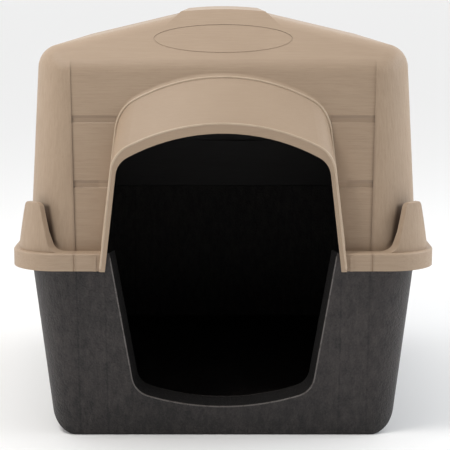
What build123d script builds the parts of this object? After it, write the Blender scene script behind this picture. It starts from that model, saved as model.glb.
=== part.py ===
from build123d import *

import math
import os

# A two-part moulded shelter for a small animal: a roof half that stands on a base tub and lifts
# straight up off it.  Millimetres, +Z up, the doorway faces -Y, and the origin is on the ground
# under the middle of the whole object.

# Overall sizes
WIDTH = 640.0  # across the rim, X
LENGTH = 820.0  # front of the hood's lip to the back of the rim, Y
HEIGHT = 656.0  # ground to the crown of the ridge cap, Z

# Plastic walls
WALL = 4.0
CORNER_BLEND = 3.0  # small rounding on outside edges

# Working lengths
OVERCUT = 1.0  # a cutter runs this far past the face it cuts
TOUCH = 0.3  # an edge this close to a surface lies on it
FAR = 300.0  # reach of a cutter or a profile that is trimmed later

# Rim of the roof half: a skirt that hangs over the tub, and the ledge inside it
RIM_BOTTOM = 272.0
RIM_TOP = 298.5
RIM_CORNER_R = 70.0
RIM_TOP_ROUND = 3.5
RIM_RIB_X = 191.0  # small upright rib on the skirt, either side of the hood
RIM_RIB_WIDTH = 4.5
RIM_RIB_PROUD = 1.4
SEAM_WIDTH = 2.0  # fine groove down the skirt below each edge of the front panel

# Walls of the roof half
UPPER_INSET_SIDE = 22.5  # ledge width at the sides
UPPER_INSET_END = 24.0  # ledge width at front and back
UPPER_DRAFT_SIDE = 3.25  # degrees from upright
UPPER_DRAFT_END = 6.7
POST_R_LOW = 72.0  # plan radius of the corner posts at the ledge
POST_R_HIGH = 53.0  # the same, at the top of the end walls

# Roof
ROOF_HEADROOM = 30.0  # the walls' taper runs on this far above the crown before the roof cuts it
ROOF_RISE = 83.0  # from the top of the end walls to the crown of the ridge cap
CAP_HALF_FOOT = 72.0  # ridge cap, half width where it meets the roof
CAP_HALF_TOP = 65.0
CAP_RISE = 6.5
CAP_CROWN = 3.5
ROOF_PITCH = 13.3  # degrees
HIP_SLOPE = 46.0  # degrees, the sloping faces above the end walls
EAVE_R = 36.0

# Recessed wall panels between the posts, and the grooves between their boards
PANEL_DEPTH = 1.6
PANEL_MARGIN = 75.5  # from the corner of the shell's walls to an end panel's edge, at the ledge
SIDE_PANEL_MARGIN = 100.0  # the same, for a side panel
PANEL_SPREAD = 7.5  # each panel is this much wider, each side, at its head
PANEL_RUN_OUT = 0.05  # depth left where the recess runs out on the roof
PANEL_FOOT = 3.0  # lowest board starts this far above the ledge
BOARD_HEIGHT = 97.0
BOARD_LAP = 12.0  # height of the channel at each joint
BOARD_STEP = 1.8  # depth of the channel at each joint
BOARD_SLOPE = 4.0  # height of the channel's upper side
BOARD_RETURN = 2.0  # height of its lower side

# Oval plaque line on the front hip
PLAQUE_HALF_WIDTH = 105.5
PLAQUE_HALF_HEIGHT = 29.5
PLAQUE_RISE = 39.0  # its centre above the top of the end walls
PLAQUE_LINE = 2.4
PLAQUE_DEPTH = 0.5

# Hood over the doorway
HOOD_PROUD = 6.0  # the lip stands this far in front of the rim
HOOD_DROP = 13.0  # its crown at the wall, below the top of the end wall
HOOD_FALL = 66.5  # from there down to its crown at the lip
HOOD_HALF_FOOT = 181.0  # outside half width at the ledge
HOOD_FLARE = 0.12  # half width lost per unit of height
HOOD_ARC_R = 312.0
HOOD_SHOULDER_R = 48.0
HOOD_JOIN_R = 4.0  # hollow rounding where the hood meets the wall
LIP_FACE_HEAD = 15.5  # width of the lip's front face over the doorway
LIP_FACE_SIDE = 8.5  # and beside it
LIP_SHOULDER_R = 34.0
LIP_DEPTH = 5.0

# Corner sockets: hollow towers on the rim's corners
SOCKET_INSET = 8.0
SOCKET_HEIGHT = 73.0
SOCKET_HALF_FOOT = 37.0
SOCKET_HALF_TOP = 17.0
SOCKET_DRAFT = 6.5
SOCKET_TOP_R = 10.0
SOCKET_FOOT_R = 16.0
SOCKET_EDGE_R = 1.5
SOCKET_WALL = 1.9

# Corner tongues of the tub, which plug into the sockets
TONGUE_CLEARANCE = 0.6
TONGUE_THICKNESS = 2.2
TONGUE_HEIGHT = 34.0  # above the tub's flange
CATCH_HEIGHT = 24.0  # above the tub's flange
CATCH_WIDTH = 4.0
CATCH_PROUD = 0.3

# Base tub
TUB_INSET_SIDE = 21.0
TUB_INSET_END = 27.0
TUB_DRAFT = 6.6
TUB_CORNER_TOP = 72.0
TUB_CORNER_FOOT = 38.0
TUB_FOOT_R = 4.0  # rounding along the bottom edge, front and back
TUB_TURN_R = 46.0  # rounding along the bottom edge, at the sides
TUB_TURN_EASE = 0.3  # that rounding leaves the side wall at a slight angle
FLOOR_TOP = 30.0
FLOOR_EDGE_R = 7.0
FOOT_RING_SIDE = 46.0  # from the foot of the side walls in to the hollow under the floor
FOOT_RING_END = 24.0
FOOT_SPLAY = 12.0
RIM_CLEARANCE = 2.0  # tub's flange inside the roof's skirt
HOOD_TUB_GAP = 1.5  # hood's foot in front of the tub's wall

# Doorway in the tub
DOOR_INSET = 9.0  # its half width at the tub's top, less than the hood's at the ledge
DOOR_SPLAY = 0.155
DOOR_SILL = 47.0
DOOR_SILL_RISE = 25.0
DOOR_CORNER_R = 36.0
DOOR_FLANGE_DEPTH = 28.0
DOOR_FLANGE_TAPER = 6.5
DOOR_HEADROOM = 40.0  # the outline runs on this far above the tub
DOOR_EDGE_R = 1.5

# Vent slots in the back wall of the roof half
VENT_COUNT = 5
VENT_LENGTH = 48.0
VENT_WIDTH = 9.0
VENT_PITCH = 22.0
VENT_DROP = 37.0  # their centres below the top of the end wall

Y_MID = HOOD_PROUD / 2.0  # centre of the two shells
RIM_HALF_X = WIDTH / 2.0
RIM_HALF_Y = (LENGTH - HOOD_PROUD) / 2.0
UPPER_HALF_X = RIM_HALF_X - UPPER_INSET_SIDE
UPPER_HALF_Y = RIM_HALF_Y - UPPER_INSET_END
WALL_TOP = HEIGHT - ROOF_RISE  # where the end walls turn into the sloping hips
HOOD_TOP_WALL = WALL_TOP - HOOD_DROP
HOOD_TOP_LIP = HOOD_TOP_WALL - HOOD_FALL
DOOR_HALF_TOP = HOOD_HALF_FOOT - DOOR_INSET
SOCKET_THICKNESS = 2.0 * (SOCKET_WALL + TONGUE_CLEARANCE) + TONGUE_THICKNESS
TUB_TOP = RIM_TOP - WALL
TUB_HALF_X = RIM_HALF_X - TUB_INSET_SIDE
TUB_HALF_Y = RIM_HALF_Y - TUB_INSET_END
RIDGE_Z = HEIGHT - CAP_RISE - CAP_CROWN  # roof surface at the foot of the cap
PANEL_REACH = WALL_TOP + EAVE_R - RIM_TOP  # height over which a panel spreads
SIDE_LEAN = math.tan(math.radians(UPPER_DRAFT_SIDE))
ROOF_FALL = math.tan(math.radians(ROOF_PITCH))
EAVE_Z = (RIDGE_Z - (UPPER_HALF_X + RIM_TOP * SIDE_LEAN - CAP_HALF_FOOT) * ROOF_FALL) / (
    1.0 - SIDE_LEAN * ROOF_FALL)  # where the side walls would meet the roof slopes


def rounded_slab(half_x, half_y, radius, low, high):
    """A straight-sided slab with rounded plan corners, centred on the shells."""
    face = RectangleRounded(2.0 * half_x, 2.0 * half_y, radius)
    return Pos(0, Y_MID, low) * extrude(face, high - low)


def tapered_body(low, high):
    """A body between two rounded rectangles, each given as (z, half_x, half_y, radius)."""
    faces = [
        Pos(0, Y_MID, z) * RectangleRounded(2.0 * half_x, 2.0 * half_y, radius)
        for z, half_x, half_y, radius in (low, high)
    ]
    return loft(faces)


def upper_half_x(z):
    """Half width of the roof half's walls at a height."""
    return UPPER_HALF_X - (z - RIM_TOP) * math.tan(math.radians(UPPER_DRAFT_SIDE))


def upper_half_y(z):
    """Half length of the roof half's walls at a height."""
    return UPPER_HALF_Y - (z - RIM_TOP) * math.tan(math.radians(UPPER_DRAFT_END))


def post_radius(z):
    """Plan radius of the corner posts at a height."""
    share = (z - RIM_TOP) / (WALL_TOP - RIM_TOP)
    return POST_R_LOW + (POST_R_HIGH - POST_R_LOW) * share


def gable_profile(inset):
    """The roof's outline seen from the front, from the ridge cap down to below the eaves."""
    drop = inset / math.cos(math.radians(ROOF_PITCH))
    reach = WIDTH
    far_z = RIDGE_Z - drop - (reach - CAP_HALF_FOOT) * math.tan(math.radians(ROOF_PITCH))
    top = RIDGE_Z + CAP_RISE - inset
    half_top = CAP_HALF_TOP - inset
    half_foot = CAP_HALF_FOOT - inset
    foot_z = RIDGE_Z - drop + inset * math.tan(math.radians(ROOF_PITCH))
    outline = Polyline((half_top, top), (half_foot, foot_z), (reach, far_z), (reach, 0), (-reach, 0),
                       (-reach, far_z), (-half_foot, foot_z), (-half_top, top))
    crown = ThreePointArc((-half_top, top), (0, top + CAP_CROWN), (half_top, top))
    return make_face([outline, crown])


def hip_profile(inset):
    """The roof half's outline seen from the side: two sloping hips over a wide open bottom."""
    slope = math.radians(HIP_SLOPE)
    back = inset / math.sin(slope)
    edge_y = upper_half_y(WALL_TOP) - back
    top_z = WALL_TOP + 2.0 * ROOF_RISE
    low_z = WALL_TOP - FAR
    top_y = edge_y - (top_z - WALL_TOP) / math.tan(slope)
    low_y = edge_y + (WALL_TOP - low_z) / math.tan(slope)
    points = [(-low_y, low_z), (-top_y, top_z), (top_y, top_z), (low_y, low_z)]
    return make_face(Polyline(*points, close=True))


def upper_body(inset, low):
    """The solid inside the roof half's outer surface, moved in by the inset."""
    high = HEIGHT + ROOF_HEADROOM
    body = tapered_body(
        (low, upper_half_x(low) - inset, upper_half_y(low) - inset, post_radius(low) - inset),
        (high, upper_half_x(high) - inset, upper_half_y(high) - inset, post_radius(high) - inset),
    )
    gable = extrude(Plane.XZ.offset(-LENGTH) * gable_profile(inset), 2.0 * LENGTH)
    hips = extrude(Plane.YZ.offset(-WIDTH) * (Pos(Y_MID, 0) * hip_profile(inset)), 2.0 * WIDTH)
    body = body & gable & hips
    return fillet([edge for edge in body.edges() if is_turn(edge, inset)], EAVE_R - inset)


def is_turn(edge, inset):
    """Whether an edge of a roof moved in by the inset is an eave, a hip or the top of an end wall."""
    middle = edge.position_at(0.5)
    above_walls = edge.bounding_box().min.Z > WALL_TOP - inset - CORNER_BLEND
    on_end_wall = abs(middle.X) < OVERCUT and middle.Z < WALL_TOP + CORNER_BLEND
    return above_walls and (on_end_wall or abs(middle.X) > CAP_HALF_FOOT - inset + OVERCUT)


def both_ends(shape):
    """A shape and its copy at the other end of the shells."""
    return [shape, mirror(shape, Plane.XZ.offset(-Y_MID))]


def both_sides(shape):
    """A shape and its copy on the other side."""
    return [shape, mirror(shape, Plane.YZ)]


def four_corners(shape):
    """A shape made at the +X +Y corner, copied to -X +Y, +X -Y and -X -Y."""
    half_turn = Pos(0, Y_MID, 0) * Rot(0, 0, 180) * Pos(0, -Y_MID, 0)
    return [shape, mirror(shape, Plane.YZ), mirror(shape, Plane.XZ.offset(-Y_MID)), half_turn * shape]


def rim():
    """The ledge round the foot of the walls and the skirt that hangs from its edge."""
    outer = rounded_slab(RIM_HALF_X, RIM_HALF_Y, RIM_CORNER_R, RIM_BOTTOM, RIM_TOP)
    outer = fillet(outer.faces().sort_by(Axis.Z)[-1].edges(), RIM_TOP_ROUND)
    inner = rounded_slab(RIM_HALF_X - WALL, RIM_HALF_Y - WALL, RIM_CORNER_R - WALL,
                         RIM_BOTTOM - OVERCUT, RIM_TOP - WALL)
    return outer - inner


def end_wall_plane():
    """The +Y wall's outer surface: local X runs across, local Y climbs the wall, local Z points out."""
    lean = math.radians(UPPER_DRAFT_END)
    return Plane(origin=(0, Y_MID + UPPER_HALF_Y, RIM_TOP), x_dir=(-1, 0, 0),
                 z_dir=(0, math.cos(lean), math.sin(lean)))


def side_wall_plane():
    """The +X wall's outer surface, laid out in the same way."""
    lean = math.radians(UPPER_DRAFT_SIDE)
    return Plane(origin=(UPPER_HALF_X, Y_MID, RIM_TOP), x_dir=(0, 1, 0),
                 z_dir=(math.cos(lean), 0, math.sin(lean)))


def panel_slab(half_foot, behind, top_z, draft, roof_slope):
    """The shallow slab taken off a wall to leave its panel lower than the posts.

    Its floor follows the wall and then turns in with the roof above, so the recess runs out smoothly
    at the panel's head.  With behind set, a plain slab is grown a little across the wall and moved
    into it by that much, which gives the inside of the wall the same step.
    """
    head = (top_z - RIM_TOP) / math.cos(math.radians(draft))
    reach = PANEL_REACH if behind else head + EAVE_R
    half = half_foot + behind
    spread = PANEL_SPREAD * reach / PANEL_REACH
    across = make_face(Polyline((-half, -WALL / 2.0), (half, -WALL / 2.0), (half + spread, reach),
                                (-half - spread, reach), close=True))
    floor = -PANEL_DEPTH - behind
    if behind:
        return Pos(0, 0, floor) * extrude(across, BOARD_STEP - floor)
    slab = Pos(0, 0, -EAVE_R) * extrude(across, EAVE_R + BOARD_STEP)
    turn = math.tan(math.radians(90.0 - draft - roof_slope))
    corner = head - (floor - PANEL_RUN_OUT) / turn
    side = make_face(Polyline((-WALL, floor), (corner, floor), (reach, floor - (reach - corner) * turn),
                              (reach, BOARD_STEP), (-WALL, BOARD_STEP), close=True))
    inner = [point for point in side.vertices() if abs(point.X - corner) < TOUCH and point.Y < 0]
    side = fillet(inner, EAVE_R)
    start = Plane(origin=(-FAR - LENGTH / 2.0, 0, 0), x_dir=(0, 1, 0), z_dir=(1, 0, 0))
    return slab & extrude(start * side, 2.0 * FAR + LENGTH)


def board_joints(half_foot, behind):
    """The channels between the boards of one panel, across its whole width."""
    spread = PANEL_SPREAD / PANEL_REACH
    surface = -PANEL_DEPTH - behind
    panel_height = WALL_TOP - RIM_TOP - PANEL_FOOT - BOARD_LAP
    channels = []
    for joint in range(1, 1 + int(panel_height / BOARD_HEIGHT)):
        middle = PANEL_FOOT + joint * BOARD_HEIGHT
        top = middle + BOARD_LAP / 2.0 + behind
        low = middle - BOARD_LAP / 2.0 - behind
        section = Polyline((top, surface + OVERCUT), (low, surface + OVERCUT), (low, surface),
                           (low + BOARD_RETURN, surface - BOARD_STEP),
                           (top - BOARD_SLOPE, surface - BOARD_STEP), (top, surface), close=True)
        across = half_foot + behind + spread * middle
        start = Plane(origin=(-across, 0, 0), x_dir=(0, 1, 0), z_dir=(1, 0, 0))
        channels.append(extrude(start * make_face(section), 2.0 * across))
    return channels


def all_panels(behind):
    """The panel slabs of the four walls."""
    end = panel_slab(UPPER_HALF_X - PANEL_MARGIN, behind, WALL_TOP, UPPER_DRAFT_END, HIP_SLOPE)
    side = panel_slab(UPPER_HALF_Y - SIDE_PANEL_MARGIN, behind, EAVE_Z, UPPER_DRAFT_SIDE, ROOF_PITCH)
    return both_ends(end_wall_plane() * end) + both_sides(side_wall_plane() * side)


def all_channels(behind):
    """The board channels of the four walls."""
    placed = []
    for channel in board_joints(UPPER_HALF_X - PANEL_MARGIN, behind):
        placed += both_ends(end_wall_plane() * channel)
    for channel in board_joints(UPPER_HALF_Y - SIDE_PANEL_MARGIN, behind):
        placed += both_sides(side_wall_plane() * channel)
    return placed


def arch_face(foot_z, top_z, side_inset, head_inset, shoulder_r):
    """The hood's outline in an upright plane: splayed sides and a shallow arched head."""
    radius = HOOD_ARC_R - head_inset
    centre_z = top_z - HOOD_ARC_R
    level_x = HOOD_HALF_FOOT - side_inset - HOOD_FLARE * (centre_z - RIM_TOP)
    square = 1.0 + HOOD_FLARE**2
    rise = (HOOD_FLARE * level_x + math.sqrt(square * radius**2 - level_x**2)) / square
    shoulder_z = centre_z + rise
    shoulder_x = level_x - HOOD_FLARE * rise
    foot_x = HOOD_HALF_FOOT - side_inset - HOOD_FLARE * (foot_z - RIM_TOP)
    sides = Polyline((-shoulder_x, shoulder_z), (-foot_x, foot_z), (foot_x, foot_z),
                     (shoulder_x, shoulder_z))
    head = ThreePointArc((-shoulder_x, shoulder_z), (0, centre_z + radius), (shoulder_x, shoulder_z))
    face = make_face([sides, head])
    shoulders = [corner for corner in face.vertices() if corner.Y > foot_z + OVERCUT]
    return fillet(shoulders, shoulder_r)


def hood_top(y):
    """Height of the hood's outer crown at a place between the lip and the wall."""
    wall_y = Y_MID - upper_half_y(HOOD_TOP_WALL)
    climb = (HOOD_TOP_WALL - HOOD_TOP_LIP) / (wall_y + LENGTH / 2.0)
    return HOOD_TOP_LIP + climb * (y + LENGTH / 2.0)


def hood_body(inset, front_y, back_y, foot_z):
    """A solid between two arches: the lip's, and a higher one further back."""
    return loft([Plane.XZ.offset(-y) * arch_face(foot_z, hood_top(y), inset, inset, HOOD_SHOULDER_R - inset)
                 for y in (front_y, back_y)])


def lip_opening():
    """The opening that the lip's front face leaves."""
    start = -LENGTH / 2.0 - OVERCUT
    face = arch_face(RIM_BOTTOM - OVERCUT, HOOD_TOP_LIP, LIP_FACE_SIDE, LIP_FACE_HEAD, LIP_SHOULDER_R)
    return extrude(Plane.XZ.offset(-start) * face, -LIP_DEPTH - 2.0 * OVERCUT)


def socket_radius(z):
    """Radius of a socket's outer face about its rim corner's centre; the face leans in as it rises."""
    return RIM_CORNER_R - SOCKET_INSET - (z - RIM_TOP) * math.tan(math.radians(SOCKET_DRAFT))


def corner_ring(section):
    """A ring about the +X +Y rim corner's centre, from the (radius, height) points of its section."""
    ring = revolve(Plane.XZ * make_face(Polyline(*section, close=True)), Axis.Z)
    return Pos(RIM_HALF_X - RIM_CORNER_R, Y_MID + RIM_HALF_Y - RIM_CORNER_R, 0) * ring


def socket_ring(inset, low, high):
    """The ring that a socket is cut from.

    Its outer face leans in all the way up.  Its inner face is upright as far as the tongue reaches,
    so that the roof lifts straight off, and leans with the outer one above that.
    """
    turn = TUB_TOP + TONGUE_HEIGHT + TONGUE_CLEARANCE
    thickness = SOCKET_THICKNESS - inset
    inner = socket_radius(turn) - thickness
    return corner_ring([(inner, low), (socket_radius(low) - inset, low), (socket_radius(high) - inset, high),
                        (socket_radius(high) - thickness, high), (inner, turn)])


def tongue_ring(gap, thickness, low, high):
    """The ring that a tongue is cut from: two leaning faces, the outer one a gap inside the socket's."""
    outer_low = socket_radius(low) - gap
    outer_high = socket_radius(high) - gap
    return corner_ring([(outer_low - thickness, low), (outer_low, low), (outer_high, high),
                        (outer_high - thickness, high)])


def socket_outline(inset, low):
    """The socket seen straight on at its corner, as a slab that reaches out from the centre."""
    top = RIM_TOP + SOCKET_HEIGHT - inset
    slope = (SOCKET_HALF_FOOT - SOCKET_HALF_TOP) / SOCKET_HEIGHT
    half_foot = SOCKET_HALF_FOOT - inset
    half_top = half_foot - slope * (top - RIM_TOP)
    half_low = half_foot + slope * (RIM_TOP - low)
    outline = make_face(Polyline((-half_low, low), (half_low, low), (half_top, top), (-half_top, top),
                                 close=True))
    crown = [corner for corner in outline.vertices() if corner.Y > low + OVERCUT]
    outline = fillet(crown, SOCKET_TOP_R - inset / 2.0)
    if inset == 0:
        flare = half_foot + SOCKET_FOOT_R
        spread = make_face(Polyline((-flare, low), (flare, low), (flare, RIM_TOP), (-flare, RIM_TOP),
                                    close=True))
        outline += spread
        feet = [corner for corner in outline.vertices()
                if abs(corner.Y - RIM_TOP) < TOUCH and abs(corner.X) < half_foot + OVERCUT]
        outline = fillet(feet, SOCKET_FOOT_R)
    centre = (RIM_HALF_X - RIM_CORNER_R, Y_MID + RIM_HALF_Y - RIM_CORNER_R, 0)
    facing = Plane(origin=centre, x_dir=(-1, 1, 0), z_dir=(1, 1, 0))
    return extrude(facing * outline, 2.0 * RIM_CORNER_R)


def is_socket_edge(edge):
    """Whether an edge runs up a side or over the top of a socket, on its outer face."""
    middle = edge.position_at(0.5)
    radial = math.hypot(middle.X - RIM_HALF_X + RIM_CORNER_R, middle.Y - Y_MID - RIM_HALF_Y + RIM_CORNER_R)
    return middle.Z > RIM_TOP + TOUCH and abs(radial - socket_radius(middle.Z)) < TOUCH


def sockets(inset):
    """The four corner sockets, as solids moved in by the inset on every face."""
    low = RIM_TOP - WALL - OVERCUT * (inset > 0)
    top = RIM_TOP + SOCKET_HEIGHT - inset
    socket = socket_ring(inset, low, top) & socket_outline(inset, low)
    if inset == 0:
        socket = fillet([edge for edge in socket.edges() if is_socket_edge(edge)], SOCKET_EDGE_R)
    return four_corners(socket)


def vents():
    """Cutters for the row of upright slots high in the back wall."""
    slots = []
    for i in range(VENT_COUNT):
        x = (i - (VENT_COUNT - 1) / 2.0) * VENT_PITCH
        slot = SlotOverall(VENT_LENGTH, VENT_WIDTH, 90)
        slot = Plane.XZ.offset(-LENGTH) * Pos(x, WALL_TOP - VENT_DROP) * slot
        slots.append(extrude(slot, LENGTH))
    return slots


def plaque_line():
    """The engraved oval on the front hip."""
    slope = math.radians(HIP_SLOPE)
    y = Y_MID - upper_half_y(WALL_TOP) + PLAQUE_RISE / math.tan(slope)
    face = Plane(origin=(0, y, WALL_TOP + PLAQUE_RISE), x_dir=(1, 0, 0),
                 z_dir=(0, -math.sin(slope), math.cos(slope)))
    ring = Ellipse(PLAQUE_HALF_WIDTH, PLAQUE_HALF_HEIGHT)
    ring -= Ellipse(PLAQUE_HALF_WIDTH - PLAQUE_LINE, PLAQUE_HALF_HEIGHT - PLAQUE_LINE)
    return extrude(face.offset(-PLAQUE_DEPTH) * ring, PLAQUE_DEPTH + OVERCUT)


def hood_join(shell):
    """The edges where the hood's crown and sides run into the front wall."""
    found = []
    for edge in shell.edges():
        middle = edge.position_at(0.5)
        wall_y = Y_MID - upper_half_y(middle.Z) + PANEL_DEPTH
        over_ledge = RIM_TOP + OVERCUT < middle.Z < HOOD_TOP_WALL + HOOD_JOIN_R
        inside_hood = abs(middle.X) < HOOD_HALF_FOOT + OVERCUT
        if over_ledge and inside_hood and abs(middle.Y - wall_y) < 2.0 * OVERCUT:
            found.append(edge)
    return found


def seam_notch(x):
    """A fine upright groove down the front of the skirt, in line with a panel's edge."""
    depth = SEAM_WIDTH / 2.0
    front = Y_MID - RIM_HALF_Y
    outline = make_face(Polyline((x - SEAM_WIDTH, front - depth), (x + SEAM_WIDTH, front - depth),
                                 (x, front + depth), close=True))
    return Pos(0, 0, RIM_BOTTOM - OVERCUT) * extrude(outline, RIM_TOP - RIM_BOTTOM + 2.0 * OVERCUT)


def hood(behind_wall):
    """The hood over the doorway as a solid, its lip's outer edge rounded and its foot cut over the tub."""
    body = hood_body(0, -LENGTH / 2.0, behind_wall, RIM_BOTTOM)
    lip_face = body.faces().sort_by(Axis.Y)[0]
    rounded = [edge for edge in lip_face.edges() if edge.center().Z > RIM_BOTTOM + OVERCUT]
    body = fillet(rounded, CORNER_BLEND)
    tub_front = Y_MID - tub_half_y(TUB_TOP) - HOOD_TUB_GAP
    over_tub = Pos(0, tub_front + FAR / 2.0, RIM_BOTTOM) * Box(WIDTH, FAR, 2.0 * (TUB_TOP - RIM_BOTTOM))
    return body - over_tub


def skirt_rib(x):
    """A small upright rib on the front of the skirt."""
    height = RIM_TOP - RIM_TOP_ROUND - RIM_BOTTOM
    return Pos(x, Y_MID - RIM_HALF_Y, RIM_BOTTOM + height / 2.0) * Box(
        RIM_RIB_WIDTH, 2.0 * RIM_RIB_PROUD, height)


def roof_outside():
    """The upper half as a solid block with its whole outer surface."""
    behind_wall = Y_MID - upper_half_y(HOOD_TOP_WALL) + 2.0 * WALL
    shell = upper_body(0, RIM_TOP - WALL)
    for slab in all_panels(0):
        shell -= slab
    shell -= plaque_line()
    shell += rim()
    shell += hood(behind_wall)
    shell = fillet(hood_join(shell), HOOD_JOIN_R)
    keep = hood_body(-HOOD_JOIN_R, -LENGTH / 2.0, behind_wall, RIM_BOTTOM)
    for channel in all_channels(0):
        shell -= channel - keep
    for side in (-1.0, 1.0):
        shell += skirt_rib(side * RIM_RIB_X)
        shell -= seam_notch(side * (UPPER_HALF_X - PANEL_MARGIN))
    for socket in sockets(0):
        shell += socket
    return shell


def roof_shell():
    """The upper half: walls, roof, rim, hood and corner sockets in one moulding."""
    shell = roof_outside()
    room = upper_body(WALL, RIM_TOP - WALL - OVERCUT)
    for step in all_panels(WALL) + all_channels(WALL):
        room -= step
    shell -= room
    inside_wall = Y_MID - upper_half_y(HOOD_TOP_WALL) + 3.0 * WALL
    shell -= hood_body(WALL, LIP_DEPTH - LENGTH / 2.0, inside_wall, RIM_BOTTOM - OVERCUT)
    shell -= lip_opening()
    for cavity in sockets(SOCKET_WALL):
        shell -= cavity
    for slot in vents():
        shell -= slot
    return shell


def tub_half_x(z):
    """Half width of the tub's outside at a height."""
    return TUB_HALF_X - (TUB_TOP - z) * math.tan(math.radians(TUB_DRAFT))


def tub_half_y(z):
    """Half length of the tub's outside at a height."""
    return TUB_HALF_Y - (TUB_TOP - z) * math.tan(math.radians(TUB_DRAFT))


def tub_body(inset, low, high):
    """The solid inside the tub's outer surface, moved in by the inset, between two heights."""
    ends = []
    for z in (low, high):
        radius = TUB_CORNER_FOOT + (TUB_CORNER_TOP - TUB_CORNER_FOOT) * z / TUB_TOP
        ends.append((z, tub_half_x(z) - inset, tub_half_y(z) - inset, radius - inset))
    return tapered_body(*ends)


def tub_turn_cutter():
    """A long bar whose lower edges carry the large rounding along the tub's sides."""
    lean = math.radians(TUB_DRAFT)
    centre_x = tub_half_x(0) - TUB_TURN_R * math.tan((math.pi / 2.0 - lean) / 2.0)
    radius = TUB_TURN_R + TUB_TURN_EASE
    outline = Polyline((centre_x, TUB_TURN_R - radius), (-centre_x, TUB_TURN_R - radius))
    left = CenterArc((-centre_x, TUB_TURN_R), radius, 180, 90)
    right = CenterArc((centre_x, TUB_TURN_R), radius, 270, 90)
    reach = WIDTH
    top = Polyline((centre_x + radius, TUB_TURN_R), (reach, TUB_TURN_R), (reach, HEIGHT), (-reach, HEIGHT),
                   (-reach, TUB_TURN_R), (-centre_x - radius, TUB_TURN_R))
    return extrude(Plane.XZ.offset(-LENGTH) * make_face([outline, left, top, right]), 2.0 * LENGTH)


def door_plane():
    """The tub's front surface: local X across, local Y up the wall, local Z out of the tub."""
    lean = math.radians(TUB_DRAFT)
    return Plane(origin=(0, Y_MID - tub_half_y(0), 0), x_dir=(1, 0, 0),
                 z_dir=(0, -math.cos(lean), -math.sin(lean)))


def door_outline(grow):
    """The doorway on the front wall: splayed jambs over a shallow arched sill, moved out by grow."""
    up = 1.0 / math.cos(math.radians(TUB_DRAFT))
    corner_z = DOOR_SILL + DOOR_SILL_RISE
    corner_x = DOOR_HALF_TOP - DOOR_SPLAY * (TUB_TOP - corner_z) + grow
    head_z = TUB_TOP + DOOR_HEADROOM
    head_x = DOOR_HALF_TOP + DOOR_SPLAY * (head_z - TUB_TOP) + grow
    jambs = Polyline((-corner_x, (corner_z - grow) * up), (-head_x, head_z * up), (head_x, head_z * up),
                     (corner_x, (corner_z - grow) * up))
    sill = ThreePointArc((corner_x, (corner_z - grow) * up), (0, (DOOR_SILL - grow) * up),
                         (-corner_x, (corner_z - grow) * up))
    face = make_face([jambs, sill])
    corners = [corner for corner in face.vertices() if corner.Y < TUB_TOP]
    return fillet(corners, DOOR_CORNER_R + grow)


def door_loft(grow, front, depth):
    """The doorway's outline carried back from the front surface, narrowing as it goes."""
    start = door_plane().offset(front) * door_outline(grow)
    end = door_plane().offset(-depth) * door_outline(grow - DOOR_FLANGE_TAPER)
    return loft([start, end])


def is_door_edge(edge):
    """Whether an edge of the tub runs round the doorway on its front surface."""
    middle = edge.position_at(0.5)
    front = Y_MID - tub_half_y(middle.Z)
    in_doorway = abs(middle.X) < DOOR_HALF_TOP + OVERCUT and DOOR_SILL / 2.0 < middle.Z < TUB_TOP - OVERCUT
    return in_doorway and abs(middle.Y - front) < TOUCH


def tub_flange():
    """The flange round the tub's top that carries the roof, cut away across the doorway."""
    inset = WALL + RIM_CLEARANCE
    flange = rounded_slab(RIM_HALF_X - inset, RIM_HALF_Y - inset, RIM_CORNER_R - inset,
                          TUB_TOP - WALL, TUB_TOP)
    notch_half = HOOD_HALF_FOOT + HOOD_FLARE * (RIM_TOP - RIM_BOTTOM) + RIM_CLEARANCE
    front_y = Y_MID - tub_half_y(TUB_TOP)
    notch = Pos(0, front_y - FAR / 2.0, TUB_TOP) * Box(2.0 * notch_half, FAR, 4.0 * WALL)
    return flange - notch


def under_floor():
    """The hollow under the raised floor, which leaves a ring to stand on."""
    half_x = tub_half_x(0) - FOOT_RING_SIDE
    half_y = tub_half_y(0) - FOOT_RING_END
    return tapered_body(
        (-OVERCUT, half_x, half_y, TUB_CORNER_FOOT / 2.0),
        (FLOOR_TOP - WALL, half_x + FOOT_SPLAY, half_y + FOOT_SPLAY, TUB_CORNER_FOOT),
    )


def base_tub():
    """The lower half: walls, raised floor, top flange and the doorway with its turned-in flange."""
    tub = tub_body(0, 0, TUB_TOP)
    tub = fillet(tub.faces().sort_by(Axis.Z)[0].edges(), TUB_FOOT_R)
    tub &= tub_turn_cutter()
    tub += tub_flange()
    room = tub_body(WALL, FLOOR_TOP, TUB_TOP + OVERCUT)
    room = fillet(room.faces().sort_by(Axis.Z)[0].edges(), FLOOR_EDGE_R)
    tub -= room
    tub += door_loft(WALL, 0, DOOR_FLANGE_DEPTH) & tub_body(0, OVERCUT, TUB_TOP)
    tub -= door_loft(0, 2.0 * OVERCUT, DOOR_FLANGE_DEPTH + 2.0 * OVERCUT)
    tub = fillet([edge for edge in tub.edges() if is_door_edge(edge)], DOOR_EDGE_R)
    return tub - under_floor()


def corner_tongue():
    """One tongue, at the +X +Y corner: a curved plate with a catch ridge across its outer face."""
    gap = SOCKET_WALL + TONGUE_CLEARANCE
    top = TUB_TOP + TONGUE_HEIGHT
    plate = tongue_ring(gap, TONGUE_THICKNESS, TUB_TOP, top) & socket_outline(gap, TUB_TOP)
    catch_z = TUB_TOP + CATCH_HEIGHT
    catch = tongue_ring(gap - CATCH_PROUD, TONGUE_THICKNESS, catch_z, catch_z + CATCH_WIDTH)
    return plate + (catch & socket_outline(gap + CATCH_WIDTH, TUB_TOP))


TONGUE_CORNERS = ["rear_right", "rear_left", "front_right", "front_left"]


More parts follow.
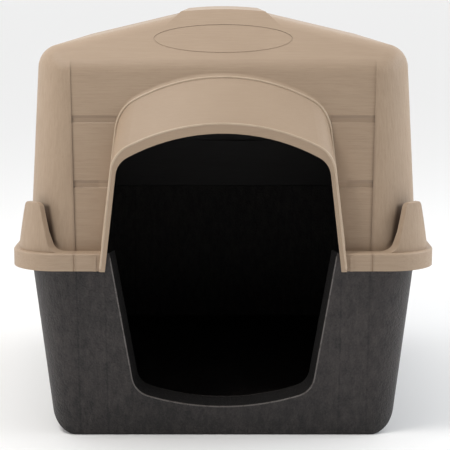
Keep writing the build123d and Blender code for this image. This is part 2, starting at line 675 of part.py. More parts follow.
def main():
    """Writes one STEP file for each piece."""
    os.makedirs("parts", exist_ok=True)
    pieces = {"base_tub": base_tub(), "roof_shell": roof_shell()}
    for name, tongue in zip(TONGUE_CORNERS, four_corners(corner_tongue())):
        pieces["tongue_" + name] = tongue
    for name, piece in pieces.items():
        export_step(piece, os.path.join("parts", name + ".step"))
        print(name, len(piece.solids()), round(piece.volume / 1000.0, 1), "cm3", piece.bounding_box())


if __name__ == "__main__":
    main()
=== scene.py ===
# %% [markdown]
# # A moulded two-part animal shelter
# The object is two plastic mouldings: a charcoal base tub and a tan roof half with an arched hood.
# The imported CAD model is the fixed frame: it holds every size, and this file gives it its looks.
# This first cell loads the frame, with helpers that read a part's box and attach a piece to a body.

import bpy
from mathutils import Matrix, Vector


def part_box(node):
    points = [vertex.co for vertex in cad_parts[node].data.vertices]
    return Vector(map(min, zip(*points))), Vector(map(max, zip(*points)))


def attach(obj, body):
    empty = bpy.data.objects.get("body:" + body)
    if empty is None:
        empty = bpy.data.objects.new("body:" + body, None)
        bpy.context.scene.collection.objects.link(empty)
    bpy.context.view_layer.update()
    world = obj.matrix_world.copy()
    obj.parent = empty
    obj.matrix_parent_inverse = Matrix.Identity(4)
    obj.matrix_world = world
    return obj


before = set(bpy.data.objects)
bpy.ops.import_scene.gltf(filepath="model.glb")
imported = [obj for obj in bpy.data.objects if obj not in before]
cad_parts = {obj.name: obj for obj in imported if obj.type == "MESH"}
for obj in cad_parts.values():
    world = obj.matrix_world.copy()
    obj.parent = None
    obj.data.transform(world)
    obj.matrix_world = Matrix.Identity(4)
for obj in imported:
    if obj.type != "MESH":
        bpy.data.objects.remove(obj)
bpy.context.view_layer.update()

import math

import bmesh
import bpy
import numpy as np
from mathutils import Vector

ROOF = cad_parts["roof_shell"]
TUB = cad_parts["base_tub"]
TONGUES = [node for name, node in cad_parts.items() if name.startswith("tongue_")]

# %% [markdown]
# ## Helpers for node trees
# Each finish is a small tree of nodes. These helpers add a node, join two sockets and set values,
# so that a finish reads as a list of its ideas rather than as wiring.

# %% Node helpers
class Tree:
    """A material's node tree with short calls for adding and joining nodes."""

    def __init__(self, name):
        self.material = bpy.data.materials.new(name)
        self.material.use_nodes = True
        self.tree = self.material.node_tree
        self.tree.nodes.clear()
        self.out = self.add("ShaderNodeOutputMaterial")
        self.shader = self.add("ShaderNodeBsdfPrincipled")
        self.join(self.shader.outputs["BSDF"], self.out.inputs["Surface"])
        self.place = self.add("ShaderNodeTexCoord").outputs["Object"]

    def add(self, kind, **settings):
        """A new node, with its plain settings and its input sockets set by name."""
        node = self.tree.nodes.new(kind)
        for key, value in settings.items():
            setattr(node, key, value)
        return node

    def join(self, source, target):
        """A link from an output socket to an input socket."""
        self.tree.links.new(source, target)

    def feed(self, socket, value):
        """Sets a socket to a number or colour, or links it to another node's output."""
        if isinstance(value, bpy.types.NodeSocket):
            self.join(value, socket)
        else:
            socket.default_value = value

    def math(self, operation, first, second=0.0, third=0.0, clamp=False):
        """One Math node, given numbers or sockets."""
        node = self.add("ShaderNodeMath", operation=operation, use_clamp=clamp)
        for socket, value in zip(node.inputs, (first, second, third)):
            self.feed(socket, value)
        return node.outputs[0]

    def product(self, first, *rest):
        """Numbers or sockets multiplied together."""
        for factor in rest:
            first = self.math("MULTIPLY", first, factor)
        return first

    def total(self, first, *rest):
        """Numbers or sockets added together."""
        for term in rest:
            first = self.math("ADD", first, term)
        return first

    def softly(self, value, edge, width=0.0006):
        """0 below an edge and 1 above it, with a narrow ramp."""
        return self.remap(value, edge - width, edge + width)

    def other(self, share):
        """What is left of 1 after a share."""
        return self.math("SUBTRACT", 1.0, share)

    def mixed(self, share, first, second):
        """The first number where the share is 0 and the second where it is 1."""
        return self.total(self.product(first, self.other(share)), self.product(second, share))

    def size(self, value):
        """A number without its sign."""
        return self.math("ABSOLUTE", value)

    def noise(self, scale, stretch=(1.0, 1.0, 1.0), detail=4.0, roughness=0.55):
        """Noise over the object's own coordinates, stretched by a Mapping node."""
        mapping = self.add("ShaderNodeMapping")
        self.join(self.place, mapping.inputs["Vector"])
        mapping.inputs["Scale"].default_value = stretch
        node = self.add("ShaderNodeTexNoise")
        self.join(mapping.outputs["Vector"], node.inputs["Vector"])
        node.inputs["Scale"].default_value = scale
        node.inputs["Detail"].default_value = detail
        node.inputs["Roughness"].default_value = roughness
        return node.outputs["Fac"]

    def remap(self, value, low_in, high_in, low_out=0.0, high_out=1.0):
        """A value carried from one range to another, held at its ends."""
        node = self.add("ShaderNodeMapRange")
        self.feed(node.inputs["Value"], value)
        for key, number in (("From Min", low_in), ("From Max", high_in), ("To Min", low_out),
                            ("To Max", high_out)):
            node.inputs[key].default_value = number
        return node.outputs["Result"]

    def blend(self, factor, first, second):
        """A colour between two colours."""
        node = self.add("ShaderNodeMix", data_type="RGBA")
        self.feed(node.inputs["Factor"], factor)
        self.feed(node.inputs["A"], first)
        self.feed(node.inputs["B"], second)
        return node.outputs["Result"]

    def split(self, vector):
        """The X, Y and Z of a vector."""
        node = self.add("ShaderNodeSeparateXYZ")
        self.join(vector, node.inputs[0])
        return node.outputs

    def looks_inward(self, facing, place):
        """1 where the surface faces the middle of the room, its ledge's height: facing . place < 0."""
        return self.math("LESS_THAN", self.total(*(self.product(*pair) for pair in zip(facing, place))), 0.0)

    def skin(self, colour, roughness, ior, bump):
        """Feeds the shader's colour, roughness, refraction and normal."""
        self.feed(self.shader.inputs["Base Color"], colour)
        self.feed(self.shader.inputs["Roughness"], roughness)
        self.shader.inputs["IOR"].default_value = ior
        self.feed(self.shader.inputs["Normal"], bump)

    def bump(self, height, strength, distance):
        """A normal that leans as if the surface had this height."""
        node = self.add("ShaderNodeBump")
        self.feed(node.inputs["Height"], height)
        node.inputs["Strength"].default_value = strength
        node.inputs["Distance"].default_value = distance
        return node.outputs["Normal"]


def linear(red, green, blue):
    """A colour given as 0 to 255 screen values, in the linear light that shaders use."""
    share = np.array([red, green, blue]) / 255.0
    light = np.where(share <= 0.04045, share / 12.92, ((share + 0.055) / 1.055) ** 2.4)
    return (*(float(value) for value in light), 1.0)

# %% [markdown]
# ## Where things are
# Both finishes change with place: boards have grain that runs level, the posts have grain that
# climbs, and the inside of the roof half is painted dark as shade. Node trees read a point's place on the
# object, so the edges of these zones are needed as numbers. They come from the frame's own boxes, so a
# changed
# CAD model moves the zones with it.

# %% Zones from the frame
roof_low, roof_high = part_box("roof_shell")
tub_low, tub_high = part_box("base_tub")
MIDDLE_Y = (tub_low.y + tub_high.y) / 2.0
RIM_HALF_X = roof_high.x
RIM_HALF_Y = roof_high.y - MIDDLE_Y
LEDGE_Z = tub_high.z + 0.004
LEDGE_WIDTH_X = 0.0225
LEDGE_WIDTH_Y = 0.024
SIDE_LEAN = math.radians(3.25)
END_LEAN = math.radians(6.7)
WALL_LEAN_X = math.tan(SIDE_LEAN)
WALL_LEAN_Y = math.tan(END_LEAN)
POST_MARGIN_X = 0.0755
POST_MARGIN_Y = 0.100
PANEL_SPREAD = 0.025
WALL_HALF_X = RIM_HALF_X - LEDGE_WIDTH_X
WALL_HALF_Y = RIM_HALF_Y - LEDGE_WIDTH_Y
print("ledge at", round(LEDGE_Z, 4), "walls", round(WALL_HALF_X, 4), round(WALL_HALF_Y, 4))

# %% [markdown]
# ## Grain
# The mould of each half was textured, so its grain is in the surface and not painted on. Grain is
# noise that is squeezed across the grain and drawn out along it. Two layers are enough: long soft
# waves of the wood's growth rings, and short fine pores between them. The same value drives the
# bump and a slight change of colour, as dust and light in a real groove would.

# %% Grain height
WAVES = 4.5
PORES = 11.0
PORE_DEPTH = 0.35

def grain(tree, squeeze):
    """Wood grain as a height: waves less pores, both squeezed across the grain, axis by axis."""
    waves = tree.noise(WAVES, squeeze, detail=4.0, roughness=0.55)
    pores = tree.noise(PORES, squeeze, detail=2.0, roughness=0.7)
    sharp = tree.remap(pores, 0.52, 0.72)
    return tree.math("SUBTRACT", waves, tree.product(sharp, PORE_DEPTH))

# %% [markdown]
# ## Roof plastic: its colours and its three grains
# A warm tan polypropylene with a satin skin. One material covers the whole roof half, so its tree
# sorts the surface into zones: level grain on boards, hips and rim, climbing grain on the posts and
# the corner sockets, a smoother hood, and the inner skin, painted dark as shade. Level grain needs two
# versions, because on the end walls it runs along X and on the side walls along Y.

# %% Colours and grains
TAN = linear(166, 144, 122)
TAN_DEEP = linear(152, 130, 109)
TAN_PALE = linear(175, 154, 132)
GROOVE_SHADE = linear(112, 92, 76)
INNER_SHADE = linear(46, 42, 41)
ALONG = 4.0
ACROSS = 85.0

tan = Tree("roof_plastic_tan")
x, y, z = tan.split(tan.place)
facing_x, facing_y, facing_z = tan.split(tan.place.node.outputs["Normal"])
off_middle = tan.math("SUBTRACT", y, MIDDLE_Y)
side_x = tan.size(x)
side_y = tan.size(off_middle)
above = tan.math("SUBTRACT", z, LEDGE_Z)

level_x = grain(tan, (ALONG, ACROSS, ACROSS))
level_y = grain(tan, (ACROSS, ALONG, ACROSS))
climbing = grain(tan, (ACROSS, ACROSS, ALONG))
print("three grains in", len(tan.tree.nodes), "nodes")

# %% [markdown]
# ## Roof plastic: which grain goes where
# A zone is a comparison of the point's own coordinates, which keeps it in place when the roof is
# lifted. The direction that the surface faces tells an end wall from a side wall. The post zone is
# what lies beyond both panels, and the panels spread a little as they fall, so the limit does too.

# %% Zones of the roof plastic
HOOD_EDGE = 0.186
HOOD_DEPTH = 0.020
HOOD_PLAINER = 0.7
SLOPE_PLAINER = 0.5
MEAN_HEIGHT = 0.45

looks_sideways = tan.softly(tan.math("SUBTRACT", tan.size(facing_x), tan.size(facing_y)), 0.0, 0.08)
roof_top = tan.softly(facing_z, 0.87, 0.03)
boards = tan.mixed(tan.math("MAXIMUM", looks_sideways, roof_top), level_x, level_y)

spread = tan.product(above, PANEL_SPREAD)
past_panel_x = tan.math("SUBTRACT", side_x, spread)
past_panel_y = tan.math("SUBTRACT", side_y, spread)
is_post = tan.product(tan.softly(past_panel_x, WALL_HALF_X - POST_MARGIN_X),
                      tan.softly(past_panel_y, WALL_HALF_Y - POST_MARGIN_Y),
                      tan.softly(above, 0.0015), tan.other(tan.softly(facing_z, 0.45, 0.1)))
height = tan.mixed(is_post, boards, climbing)

in_front = tan.softly(tan.product(y, -1.0), WALL_HALF_Y - MIDDLE_Y - HOOD_DEPTH, 0.004)
is_hood = tan.product(in_front, tan.other(tan.softly(side_x, HOOD_EDGE, 0.002)))
is_slope = tan.softly(facing_z, 0.45, 0.15)
plainer = tan.math("MAXIMUM", tan.product(is_hood, HOOD_PLAINER), tan.product(is_slope, SLOPE_PLAINER))
height = tan.mixed(plainer, height, MEAN_HEIGHT)
print("zones bring the tree to", len(tan.tree.nodes), "nodes")

# %% [markdown]
# ## Roof plastic: colour from height
# The grain's own height shifts the colour a little, and a slow mottle on top keeps large faces from
# looking like flat paint. Both stay within a few shades, since the plastic is coloured right through.

# %% Colour of the roof plastic
mottle = tan.noise(9.0, detail=3.0)
tone = tan.total(tan.remap(height, 0.2, 0.7, -0.5, 0.5), tan.remap(mottle, 0.3, 0.7, -0.25, 0.25))
shade = tan.blend(tan.remap(tone, -0.8, 0.8), TAN_DEEP, TAN_PALE)
plain = tan.blend(0.4, shade, TAN)
print("red of the tan runs from", round(TAN_DEEP[0], 3), "to", round(TAN_PALE[0], 3))

# %% [markdown]
# ## Roof plastic: joints and creases
# The CAD model has the channels between the boards and the crease where a panel meets its post. These
# lines are tinted darker as painted shade. Each line is a distance turned into a soft mask. The
# crease's painted shade fades towards the eave.

# %% Joints and creases
JOINT_HEIGHTS = (0.100, 0.197)
JOINT_HALF = 0.006
JOINT_SHADE = 0.22
CREASE_HALF = 0.0026
CREASE_SHADE = 0.34
CREASE_TOP = 0.200

in_joint = 0.0
for joint in JOINT_HEIGHTS:
    off = tan.size(tan.math("SUBTRACT", above, joint * math.cos(END_LEAN)))
    in_joint = tan.total(in_joint, tan.other(tan.softly(off, JOINT_HALF, 0.001)))
in_joint = tan.product(in_joint, tan.other(is_post), tan.other(is_hood))
off = tan.size(tan.math("SUBTRACT", past_panel_x, WALL_HALF_X - POST_MARGIN_X))
in_crease = tan.product(tan.other(tan.softly(off, CREASE_HALF, 0.0018)), tan.other(looks_sideways),
                        tan.other(tan.softly(above, CREASE_TOP, 0.060)))
# Painted shade: the board joints and the panel creases are tinted darker, standing in for their shade.
painted_groove_shade = tan.math("ADD", tan.product(in_joint, JOINT_SHADE), tan.product(in_crease, CREASE_SHADE), clamp=True)
plain = tan.blend(painted_groove_shade, plain, GROOVE_SHADE)

# %% [markdown]
# ## Roof plastic: behind the corner sockets
# Each socket stands a few millimetres off its post, and that gap is painted darker as its shade. The sockets
# are cut from a ring about the rim's corner, so two measures find the gap: how far a point is inside the
# socket's outer face, and how far it is beyond the socket's side.

# %% Behind the corner sockets
CREVICE_SHADE = linear(78, 60, 48)
CREVICE_SHADE_TINT = 0.85
CORNER_R = 0.070
SOCKET_HALF_FOOT = 0.037
SOCKET_HALF_TOP = 0.017
SOCKET_HEIGHT = 0.073
SOCKET_FACE = 0.062
SOCKET_DRAFT = math.tan(math.radians(6.5))
SOCKET_SLOPE = (SOCKET_HALF_FOOT - SOCKET_HALF_TOP) / SOCKET_HEIGHT
GAP_TOP = 0.064

from_x = tan.math("SUBTRACT", side_x, RIM_HALF_X - CORNER_R)
from_y = tan.math("SUBTRACT", side_y, RIM_HALF_Y - CORNER_R)
across = tan.size(tan.product(tan.math("SUBTRACT", from_x, from_y), math.sqrt(0.5)))
reach = tan.math("SQRT", tan.total(tan.product(from_x, from_x), tan.product(from_y, from_y)))
flare = tan.remap(above, 0.0, 0.016, 0.008, 0.0)
beside = tan.total(tan.math("SUBTRACT", across, SOCKET_HALF_FOOT), tan.product(above, SOCKET_SLOPE))
beside = tan.math("SUBTRACT", beside, flare)
behind = tan.math("SUBTRACT", SOCKET_FACE, tan.total(reach, tan.product(above, SOCKET_DRAFT)))
in_gap = tan.product(tan.remap(beside, -0.0095, -0.0040, 1.0, 0.0), tan.remap(behind, 0.0050, 0.0065),
                     tan.remap(above, 0.003, 0.014), tan.remap(above, GAP_TOP, GAP_TOP + 0.006, 1.0, 0.0),
                     tan.math("GREATER_THAN", from_x, -0.01), tan.math("GREATER_THAN", from_y, -0.01))
# Painted shade: the gap behind each socket is tinted dark brown.
plain = tan.blend(tan.product(in_gap, CREVICE_SHADE_TINT), plain, CREVICE_SHADE)
print("gap zone up to", round(LEDGE_Z + GAP_TOP, 4), "m")

# %% [markdown]
# ## Roof plastic: the inner skin
# The inside of the roof half is painted nearly black, as the shade of the room seen through the doorway. A
# point belongs to the inner skin when its face looks towards the middle of the room and it lies within the
# outer walls, which lean inwards as they rise. The second test keeps the hood, the rim and the sockets out
# of it.

# %% Inner skin, and the finished tree
INNER_MARGIN = 0.001
wall_now_x = tan.math("SUBTRACT", WALL_HALF_X - INNER_MARGIN, tan.product(above, WALL_LEAN_X))
wall_now_y = tan.math("SUBTRACT", WALL_HALF_Y - INNER_MARGIN, tan.product(above, WALL_LEAN_Y))
inward = tan.looks_inward((facing_x, facing_y, facing_z), (x, off_middle, above))
is_inside = tan.product(inward, tan.math("LESS_THAN", side_x, wall_now_x),
                        tan.math("LESS_THAN", side_y, wall_now_y))
# Painted shade: the inner skin is coloured near-black, standing in for the shade inside the roof half.
tan.skin(tan.blend(is_inside, plain, INNER_SHADE), tan.remap(height, 0.2, 0.7, 0.62, 0.46), 1.46,
         tan.bump(height, 0.55, 0.0006))
ROOF.data.materials.clear()
ROOF.data.materials.append(tan.material)
print("roof plastic has", len(tan.tree.nodes), "nodes")

# %% [markdown]
# ## Tub plastic: pebbles and unevenness
# Charcoal polypropylene from a spark-eroded mould: a pebbled skin that breaks the light into small
# specks, and a slight unevenness, since no moulding cools evenly. Rounded cells from a Voronoi
# texture give the pebbles. Three noises, from fine to coarse, change the colour and the sheen, and
# the foot is painted darker than the rest, as shade near the floor.

# %% Pebbles and tone
CHARCOAL = linear(18, 15, 15)
CHARCOAL_PALE = linear(68, 62, 61)
PEBBLES = 330.0

black = Tree("tub_plastic_charcoal")
x, y, z = black.split(black.place)
facing_x, facing_y, facing_z = black.split(black.place.node.outputs["Normal"])
pebble = black.add("ShaderNodeTexVoronoi", feature="SMOOTH_F1")
black.join(black.place, pebble.inputs["Vector"])
pebble.inputs["Scale"].default_value = PEBBLES
pebble.inputs["Smoothness"].default_value = 0.6
speck = black.noise(420.0, (1.0, 1.0, 0.6), detail=3.0, roughness=0.75)
blotch = black.noise(95.0, (1.0, 1.0, 0.45), detail=4.0, roughness=0.7)
drift = black.noise(6.0, (1.0, 1.0, 0.4), detail=3.0)
relief = black.total(black.product(pebble.outputs["Distance"], 0.8), black.total(speck, blotch))
tone = black.total(black.remap(speck, 0.3, 0.7, -0.5, 0.5), black.remap(blotch, 0.3, 0.7, -0.65, 0.65),
                   black.remap(drift, 0.3, 0.7, -0.25, 0.25))
# Painted shade: the tone darkens towards the tub's foot.
tone = black.math("SUBTRACT", tone, black.remap(z, 0.0, 0.11, 0.6, 0.1))
print("pebbles about", round(1000.0 / PEBBLES, 1), "mm apart")

# %% [markdown]
# ## Tub plastic: shaded lines and the doorway's reveal
# Faint upright lines on the end walls are painted darker, as the shade of shallow creases. The reveal of
# the doorway is plainer, and its colour is painted darker as its shade. It is the part near the front
# wall whose faces look into the room.

# %% Shaded lines, reveal and the finished tree
SHADED_CREASE_X = (0.222, 0.179)
SHADED_CREASE_HALF = 0.0009
SHADED_CREASE_TINT = 0.4
REVEAL_SHADE = linear(11, 8, 8)
REVEAL_DEPTH = 0.075

lines = 0.0
for line in SHADED_CREASE_X:
    off = black.size(black.math("SUBTRACT", black.size(x), line))
    lines = black.total(lines, black.remap(off, SHADED_CREASE_HALF, 2.0 * SHADED_CREASE_HALF, 1.0, 0.0))
lines = black.product(lines, black.remap(black.size(facing_y), 0.8, 0.9))
# Painted shade: faint upright lines on the end walls are darkened.
tone = black.math("SUBTRACT", tone, black.product(lines, SHADED_CREASE_TINT))
outer = black.blend(black.remap(tone, -0.9, 0.9), CHARCOAL, CHARCOAL_PALE)
from_ledge = (x, black.math("SUBTRACT", y, MIDDLE_Y), black.math("SUBTRACT", z, LEDGE_Z))
is_reveal = black.product(black.looks_inward((facing_x, facing_y, facing_z), from_ledge),
                          black.math("LESS_THAN", y, tub_low.y + REVEAL_DEPTH))
sheen = black.total(black.remap(tone, -0.9, 0.9, 0.40, 0.62), black.product(is_reveal, 0.2))
# Painted shade: the doorway's reveal is coloured near-black.
black.skin(black.blend(is_reveal, outer, REVEAL_SHADE), sheen, 1.42, black.bump(relief, 0.9, 0.0011))
for node in [TUB, *TONGUES]:
    node.data.materials.clear()
    node.data.materials.append(black.material)
print("tub plastic has", len(black.tree.nodes), "nodes on", 1 + len(TONGUES), "pieces")

# %% [markdown]
# ## Rolled edges
# Three edges of the real mouldings end in a thin rolled bead that catches the light: the front edge
# of the hood, the hood's back edge where it dies into the wall, and the doorway of the tub. A bead
# is a small round section carried along a path. Each path is an arch, and the doorway is the same
# arch turned upside down: a splayed side, a rounded shoulder and a shallow crown. So one function
# gives all three, and the shape is worked out for all its points at once.

# %% An arch as a path
def arch(share, half, flare, foot, low, crown, radius, shoulder):
    """Points (across, up) along an arch, from its left foot over its crown to its right foot.

    The side is the line across = half - flare * (up - foot), which starts at the height low.  The
    head is a circle of the given radius whose top is at the height crown.  The shoulder is a circle
    that touches both from inside: its centre is radius - shoulder from the head's centre, and
    shoulder from the side.  Share runs from -1 to 1, a third of each half for each stretch.
    """
    slant = math.sqrt(1.0 + flare**2)
    centre = crown - radius
    reach = half + flare * foot - shoulder * slant - flare * centre
    inner = radius - shoulder
    rise = (flare * reach + np.sqrt(slant**2 * inner**2 - reach**2)) / slant**2
    turn_x = reach - flare * rise
    turn_z = centre + rise
    side_angle = math.atan2(flare, 1.0)
    head_angle = np.arctan2(rise, turn_x)

    stretch = 3.0 * (1.0 - np.abs(share))
    along_side, along_turn, along_head = (np.clip(stretch - before, 0.0, 1.0) for before in (0.0, 1.0, 2.0))
    foot_x = half - flare * (low - foot)
    end_x = turn_x + shoulder * math.cos(side_angle)
    end_z = turn_z + shoulder * math.sin(side_angle)
    turned = side_angle + (head_angle - side_angle) * along_turn
    over = head_angle + (math.pi / 2.0 - head_angle) * along_head
    on_side = (foot_x + (end_x - foot_x) * along_side, low + (end_z - low) * along_side)
    on_turn = (turn_x + shoulder * np.cos(turned), turn_z + shoulder * np.sin(turned))
    on_head = (radius * np.cos(over), centre + radius * np.sin(over))
    across, up = (np.where(stretch < 1.0, first, np.where(stretch < 2.0, second, third))
                  for first, second, third in zip(on_side, on_turn, on_head))
    return np.sign(share) * across, up

# %% A round section carried along a path
BEAD_SIDES = 12
WELD = 1e-6

def bead(name, path, radius, body, material):
    """A closed round rod along a path of points.

    At each point the section is a circle, point + radius * (cos a * side + sin a * lift), where side
    and lift are square to the path's direction.  Each end is closed by a circle of no radius.
    """
    along = np.gradient(path, axis=0)
    along /= np.linalg.norm(along, axis=1)[:, None]
    lift = np.cross(along, np.array([0.0, 1.0, 0.0]))
    lift /= np.linalg.norm(lift, axis=1)[:, None]
    side = np.cross(lift, along)
    size = np.full(len(path), radius)
    size[[0, -1]] = 0.0
    turn = 2.0 * math.pi * np.arange(BEAD_SIDES)[None, :, None] / BEAD_SIDES
    ring = np.cos(turn) * side[:, None, :] + np.sin(turn) * lift[:, None, :]
    points = path[:, None, :] + size[:, None, None] * ring
    row, column = np.meshgrid(np.arange(len(path) - 1), np.arange(BEAD_SIDES), indexing="ij")
    here, onward = row * BEAD_SIDES, (row + 1) * BEAD_SIDES
    after = (column + 1) % BEAD_SIDES
    faces = np.stack([here + column, here + after, onward + after, onward + column], axis=-1).reshape(-1, 4)
    mesh = bpy.data.meshes.new(name)
    mesh.from_pydata(points.reshape(-1, 3).tolist(), [], faces.tolist())
    shape = bmesh.new()
    shape.from_mesh(mesh)
    bmesh.ops.remove_doubles(shape, verts=shape.verts, dist=WELD)
    bmesh.ops.recalc_face_normals(shape, faces=shape.faces)
    shape.to_mesh(mesh)
    shape.free()
    mesh.shade_smooth()
    mesh.materials.append(material)
    piece = bpy.data.objects.new(name, mesh)
    bpy.context.scene.collection.objects.link(piece)
    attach(piece, body)
    length = np.linalg.norm(np.diff(path, axis=0), axis=1).sum()
    print(name, len(mesh.polygons), "faces,", round(float(length), 3), "m long")

# %% [markdown]
# ## The plastic of a rolled edge
# A rolled edge is glossier than the face beside it, and its colour is painted paler as a highlight. A slow
# noise varies both.

# %% Rolled plastic
EDGE_IOR = 1.5

def highlight_edge_plastic(name, edge_own_colour, bright, scale, smooth, rough):
    """A material between two colours and two roughnesses, both following one noise."""
    edge = Tree(name)
    highlight_and_gloss = edge.noise(scale, (1.0, 1.0, 1.0), detail=3.0)
    # Painted highlight: the noise blends the edge's own colour towards a paler one.
    edge.skin(edge.blend(highlight_and_gloss, edge_own_colour, bright), edge.remap(highlight_and_gloss, 0.3, 0.7, smooth, rough), EDGE_IOR,
              edge.bump(highlight_and_gloss, 0.2, 0.0003))
    return edge.material

# %% [markdown]
# ## The hood's lip bead
# The hood's outline has one size at the lip and another at the wall, where it stands higher. The lip
# bead lies just inside the lip's rounded front edge, so it stands only a fraction of a millimetre
# proud.

# %% Lip bead
HOOD_HALF = 0.181
HOOD_FLARE = 0.12
HOOD_RADIUS = 0.312
HOOD_SHOULDER = 0.048
HOOD_AT_LIP = 0.4935
HOOD_AT_WALL = 0.560
LIP_Y = roof_low.y
SKIRT_FOOT = roof_low.z
LIP_BEAD = 0.0020
BACK_BEAD = 0.0019

PANEL_STEP = 0.0016
SUNK = 0.0013
ABOVE_FOOT = 0.002

def wall_front(up):
    """How far back the front wall's panel is at a height."""
    return MIDDLE_Y - WALL_HALF_Y + (up - LEDGE_Z) * WALL_LEAN_Y + PANEL_STEP

# Painted highlight: the lip and back beads are coloured paler than the tan.
tan_edge = highlight_edge_plastic("roof_plastic_edge_painted_highlight", linear(170, 149, 126), linear(198, 178, 156),
                          45.0, 0.28, 0.42)
share = np.linspace(-1.0, 1.0, 241)
across, up = arch(share, HOOD_HALF - SUNK, HOOD_FLARE, LEDGE_Z, SKIRT_FOOT + ABOVE_FOOT,
                  HOOD_AT_LIP - SUNK, HOOD_RADIUS - SUNK, HOOD_SHOULDER - SUNK)
lip_path = np.stack([across, np.full_like(up, LIP_Y + SUNK), up], axis=1)
bead("hood_lip_bead", lip_path, LIP_BEAD, "roof", tan_edge)

# %% [markdown]
# ## The bead at the hood's back edge
# The wall leans and the hood rises towards it, so this path is found in three passes: each pass works
# out the outline, then how far back the wall is at each height, then how high the hood is there. It
# starts just above the ledge, and keeps a little proud of the hood and in front of the wall.

# %% Back bead
BACK_PROUD = 0.0014
BACK_AHEAD = 0.0040
ABOVE_LEDGE = 0.004

back_y = wall_front(HOOD_AT_WALL)
crown = np.full_like(share, HOOD_AT_WALL)
for _ in range(3):
    across, up = arch(share, HOOD_HALF + BACK_PROUD, HOOD_FLARE, LEDGE_Z, LEDGE_Z + ABOVE_LEDGE,
                      crown + BACK_PROUD, HOOD_RADIUS, HOOD_SHOULDER)
    depth = wall_front(up) - BACK_AHEAD
    crown = HOOD_AT_LIP + (HOOD_AT_WALL - HOOD_AT_LIP) * (depth - LIP_Y) / (back_y - LIP_Y)
back_path = np.stack([across, depth, up], axis=1)
bead("hood_back_bead", back_path, BACK_BEAD, "roof", tan_edge)

# %% [markdown]
# ## The doorway's bead
# The tub's doorway is cut from a leaning wall and its edge is rolled. Turned upside down, its sill is
# the crown of an arch, and the two sides splay apart as they rise.

# %% Doorway bead
DOOR_HALF = 0.172
DOOR_SPLAY = 0.155
DOOR_SILL = 0.047
DOOR_CORNER = 0.036
SILL_RISE = 0.025
TUB_LEAN = math.tan(math.radians(6.6))
TUB_INSET = 0.027
DOOR_BEAD = 0.0012
DOOR_SUNK = 0.0006
BELOW_TOP = 0.001

tub_top = tub_high.z
corner_half = DOOR_HALF - DOOR_SPLAY * (tub_top - DOOR_SILL - SILL_RISE)
sill_radius = (corner_half**2 + SILL_RISE**2) / (2.0 * SILL_RISE)
share = np.linspace(-1.0, 1.0, 181)
across, down = arch(share, DOOR_HALF, DOOR_SPLAY, -tub_top, -tub_top + BELOW_TOP, -DOOR_SILL,
                    sill_radius, DOOR_CORNER)
front = MIDDLE_Y - (RIM_HALF_Y - TUB_INSET) + (tub_top + down) * TUB_LEAN
door_path = np.stack([across, front + DOOR_SUNK, -down], axis=1)
# Painted highlight: the doorway bead is coloured paler than the charcoal.
tub_edge = highlight_edge_plastic("tub_plastic_edge_painted_highlight", linear(70, 65, 63), linear(104, 99, 96),
                          60.0, 0.22, 0.38)
bead("doorway_bead", door_path, DOOR_BEAD, "base", tub_edge)

# %% [markdown]
# ## Floor and world
# The shelter stands on a plain sheet of paper, so large that its edge is never seen. The world is
# bright behind and beside the object and dark on the camera's side, as in a studio with pale walls
# and a dark camera stand: pale walls wrap the edges, and the dark side keeps the front from glaring.

# %% Floor
FLOOR_HALF = 400.0
PAPER_WHITE = 0.9

mesh = bpy.data.meshes.new("floor")
corners = [(-FLOOR_HALF, -FLOOR_HALF, 0.0), (FLOOR_HALF, -FLOOR_HALF, 0.0), (FLOOR_HALF, FLOOR_HALF, 0.0),
           (-FLOOR_HALF, FLOOR_HALF, 0.0)]
mesh.from_pydata(corners, [], [(0, 1, 2, 3)])
floor = bpy.data.objects.new("floor", mesh)
bpy.context.scene.collection.objects.link(floor)
paper = Tree("floor_paper")
paper.shader.inputs["Base Color"].default_value = (PAPER_WHITE, PAPER_WHITE, PAPER_WHITE, 1.0)
paper.shader.inputs["Roughness"].default_value = 0.9
mesh.materials.append(paper.material)
print("floor", round(2.0 * FLOOR_HALF), "m wide")

# %% World
SKY_FRONT = 0.15
SKY_REST = 1.25

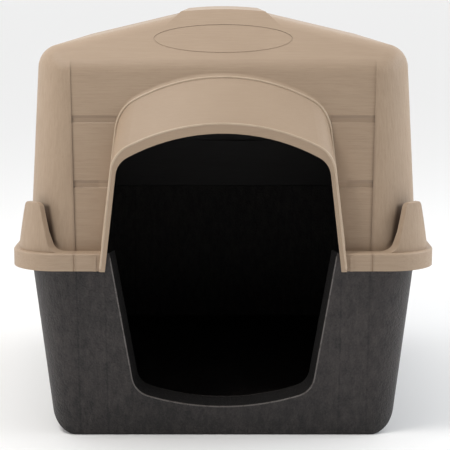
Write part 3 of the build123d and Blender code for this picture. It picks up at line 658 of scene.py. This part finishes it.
world = bpy.data.worlds.new("studio")
bpy.context.scene.world = world
world.use_nodes = True
sky = world.node_tree
where = sky.nodes.new("ShaderNodeTexCoord")
parts = sky.nodes.new("ShaderNodeSeparateXYZ")
ahead = sky.nodes.new("ShaderNodeMapRange")
sky.links.new(where.outputs["Generated"], parts.inputs[0])
sky.links.new(parts.outputs["Y"], ahead.inputs["Value"])
for key, number in (("From Min", -0.75), ("From Max", 0.05), ("To Min", SKY_FRONT), ("To Max", SKY_REST)):
    ahead.inputs[key].default_value = number
background = sky.nodes["Background"]
background.inputs["Color"].default_value = (1.0, 1.0, 1.0, 1.0)
sky.links.new(ahead.outputs["Result"], background.inputs["Strength"])
bpy.context.scene.view_settings.view_transform = "Standard"
print("world from", SKY_FRONT, "on the camera's side to", SKY_REST)

# %% [markdown]
# ## Lights
# Three soft boxes. The key stands high on the left, so the hood throws a soft shadow to its right.
# The two side boxes are nearly level with the end walls, so they light the rounded posts and leave
# the end walls to the key. The right one is a little cooler and stronger.

# %% Lights
def soft_light(name, place, aim, size, power, colour):
    """A square area light at a place, turned to look at its aim."""
    lamp = bpy.data.lights.new(name, "AREA")
    lamp.shape = "SQUARE"
    lamp.size = size
    lamp.energy = power
    lamp.color = colour
    piece = bpy.data.objects.new(name, lamp)
    piece.location = place
    piece.rotation_euler = (Vector(aim) - Vector(place)).to_track_quat("-Z", "Y").to_euler()
    bpy.context.scene.collection.objects.link(piece)

WARM = (1.0, 0.97, 0.93)
PLAIN = (1.0, 0.97, 0.92)
COOL = (0.90, 0.95, 1.0)
soft_light("key_box", (-0.95, -1.10, 2.4), (0, 0, 0.4), 0.7, 26.0, WARM)
soft_light("left_box", (-2.2, -0.35, 1.0), (0, 0, 0.35), 1.0, 6.0, PLAIN)
soft_light("right_box", (2.1, -0.35, 1.5), (0, 0, 0.35), 1.0, 20.0, COOL)
print(len(bpy.data.lights), "soft boxes")

# %% [markdown]
# ## Camera
# The camera stands a little over two metres in front of the doorway, just above the roof, and looks
# slightly down. A long lens keeps the sides almost parallel.

# %% Camera
CAMERA_HEIGHT = 0.679
CAMERA_AHEAD = 2.456
CAMERA_TILT = 9.33
LENS = 112.5
SHIFT = 0.004
lens = bpy.data.cameras.new("camera")
lens.lens = LENS
lens.sensor_width = 36.0
lens.shift_x = SHIFT
camera = bpy.data.objects.new("camera", lens)
camera.location = (0.0, -CAMERA_AHEAD, CAMERA_HEIGHT)
camera.rotation_euler = (math.radians(90.0 - CAMERA_TILT), 0.0, 0.0)
bpy.context.scene.collection.objects.link(camera)
bpy.context.scene.camera = camera
print("camera", [round(part, 3) for part in camera.location], "lens", LENS)
